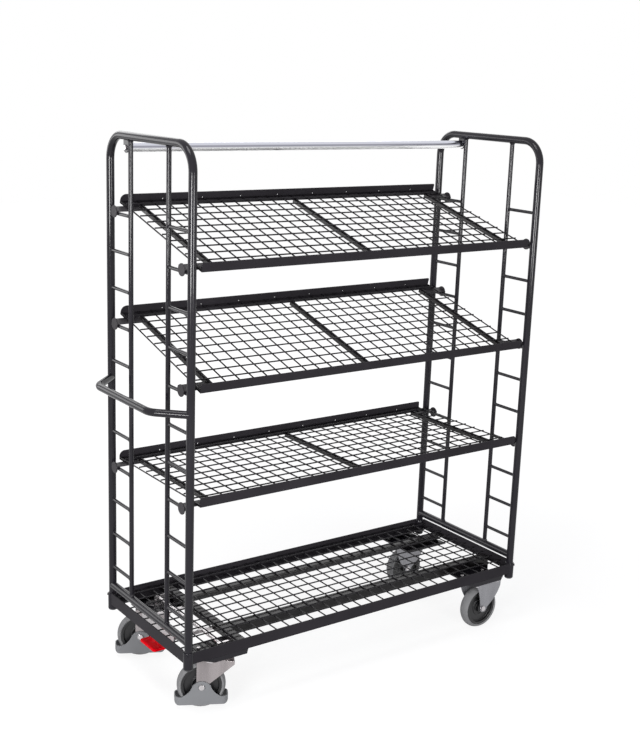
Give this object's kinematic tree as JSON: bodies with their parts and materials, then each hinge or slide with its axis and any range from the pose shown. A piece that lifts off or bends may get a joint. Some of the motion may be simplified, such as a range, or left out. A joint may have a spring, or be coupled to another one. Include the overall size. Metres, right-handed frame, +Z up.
{
  "type": "shelf trolley",
  "caption": "Tall two-ended shelf trolley with ladder-sided tube end frames, lift-off wire shelves, a wire deck, swivel and fixed casters and a foot-operated central brake.",
  "frame": {"origin": "on the floor, midway between the four corner posts", "axes": "+Z up from the floor, +X along the trolley away from the push handle, +Y towards the rear with the tie bar"},
  "size_m": [1.5492, 0.5954, 1.8741],
  "materials": {
    "frame_paint": "semi-gloss anthracite powder coat",
    "zinc": "dull zinc plating",
    "bright_zinc": "bright zinc plating",
    "tyre_rubber": "matt grey rubber",
    "hub_plastic": "matt black moulding",
    "guard_plastic": "matt grey moulding",
    "cap_plastic": "matt dark moulding",
    "pedal_red": "glossy red"
  },
  "bodies": {
    "trolley": {"left_hoop": "frame_paint", "right_hoop": "frame_paint", "left_bars": "frame_paint", "right_bars": "frame_paint", "left_rungs": "frame_paint", "right_rungs": "frame_paint", "lower_tubes": "frame_paint", "push_handle": "frame_paint", "tie_bar_brackets": "frame_paint", "front_rail": "frame_paint", "rear_rail": "frame_paint", "left_rail": "frame_paint", "right_rail": "frame_paint", "corner_sockets": "frame_paint", "deck_channels": "frame_paint", "deck_cross_member": "frame_paint", "deck_mesh": "frame_paint", "caster_mount_plates": "frame_paint", "socket_screws": "frame_paint", "caster_bolts": "zinc", "fixed_front_bracket": "zinc", "fixed_rear_bracket": "zinc", "fixed_axles": "zinc", "swivel_front_head": "zinc", "swivel_rear_head": "zinc", "tie_bar": "bright_zinc", "tie_bar_bolts": "bright_zinc", "socket_caps": "cap_plastic"},
    "shelf_1": {"shelf_1_lips": "frame_paint", "shelf_1_hooks": "frame_paint", "shelf_1_cross_members": "frame_paint", "shelf_1_mesh": "frame_paint"},
    "shelf_2": {"shelf_2_lips": "frame_paint", "shelf_2_hooks": "frame_paint", "shelf_2_cross_members": "frame_paint", "shelf_2_mesh": "frame_paint"},
    "shelf_3": {"shelf_3_lips": "frame_paint", "shelf_3_hooks": "frame_paint", "shelf_3_cross_members": "frame_paint", "shelf_3_mesh": "frame_paint"},
    "swivel_front": {"swivel_front_fork": "zinc", "swivel_front_guard": "guard_plastic", "swivel_front_axle": "zinc"},
    "swivel_front_wheel": {"swivel_front_hub": "hub_plastic", "swivel_front_tyre": "tyre_rubber"},
    "fixed_front_wheel": {"fixed_front_hub": "hub_plastic", "fixed_front_tyre": "tyre_rubber"},
    "swivel_rear": {"swivel_rear_fork": "zinc", "swivel_rear_guard": "guard_plastic", "swivel_rear_axle": "zinc"},
    "swivel_rear_wheel": {"swivel_rear_hub": "hub_plastic", "swivel_rear_tyre": "tyre_rubber"},
    "fixed_rear_wheel": {"fixed_rear_hub": "hub_plastic", "fixed_rear_tyre": "tyre_rubber"},
    "brake": {"brake_shaft": "zinc", "brake_levers": "zinc", "brake_pedal": "pedal_red"},
    "brake_plunger_front": {"brake_plunger_front": "zinc"},
    "brake_plunger_rear": {"brake_plunger_rear": "zinc"}
  },
  "joints": [
    {"name": "shelf_1_lift", "type": "slide", "parent": "trolley", "child": "shelf_1", "axis": [0, 0, 1], "range_m": [0, 0.04]},
    {"name": "shelf_2_lift", "type": "slide", "parent": "trolley", "child": "shelf_2", "axis": [0, 0, 1], "range_m": [0, 0.04]},
    {"name": "shelf_3_lift", "type": "slide", "parent": "trolley", "child": "shelf_3", "axis": [0, 0, 1], "range_m": [0, 0.04]},
    {"name": "swivel_front_turn", "type": "hinge", "parent": "trolley", "child": "swivel_front", "pos_m": [-0.568, -0.218, 0.184], "axis": [0, 0, 1], "continuous": true},
    {"name": "swivel_front_roll", "type": "hinge", "parent": "swivel_front", "child": "swivel_front_wheel", "pos_m": [-0.61745, -0.19171, 0.082], "axis": [0.4695, 0.8829, 0], "continuous": true},
    {"name": "fixed_front_roll", "type": "hinge", "parent": "trolley", "child": "fixed_front_wheel", "pos_m": [0.6, -0.228, 0.082], "axis": [0, 1, 0], "continuous": true},
    {"name": "swivel_rear_turn", "type": "hinge", "parent": "trolley", "child": "swivel_rear", "pos_m": [-0.568, 0.218, 0.184], "axis": [0, 0, 1], "continuous": true},
    {"name": "swivel_rear_roll", "type": "hinge", "parent": "swivel_rear", "child": "swivel_rear_wheel", "pos_m": [-0.61745, 0.24429, 0.082], "axis": [0.4695, 0.8829, 0], "continuous": true},
    {"name": "fixed_rear_roll", "type": "hinge", "parent": "trolley", "child": "fixed_rear_wheel", "pos_m": [0.6, 0.228, 0.082], "axis": [0, 1, 0], "continuous": true},
    {"name": "brake_pedal_press", "type": "hinge", "parent": "trolley", "child": "brake", "pos_m": [-0.503, 0, 0.2175], "axis": [0, -1, 0], "range_deg": [0, 10]},
    {"name": "brake_plunger_front_slide", "type": "slide", "parent": "trolley", "child": "brake_plunger_front", "axis": [0, 0, -1], "range_m": [0, 0.01136]},
    {"name": "brake_plunger_rear_slide", "type": "slide", "parent": "trolley", "child": "brake_plunger_rear", "axis": [0, 0, -1], "range_m": [0, 0.01136]}
  ],
  "couplings": [
    {"joint": "brake_plunger_front_slide", "follows": "brake_pedal_press", "m_per_rad": 0.065},
    {"joint": "brake_plunger_rear_slide", "follows": "brake_pedal_press", "m_per_rad": 0.065}
  ]
}
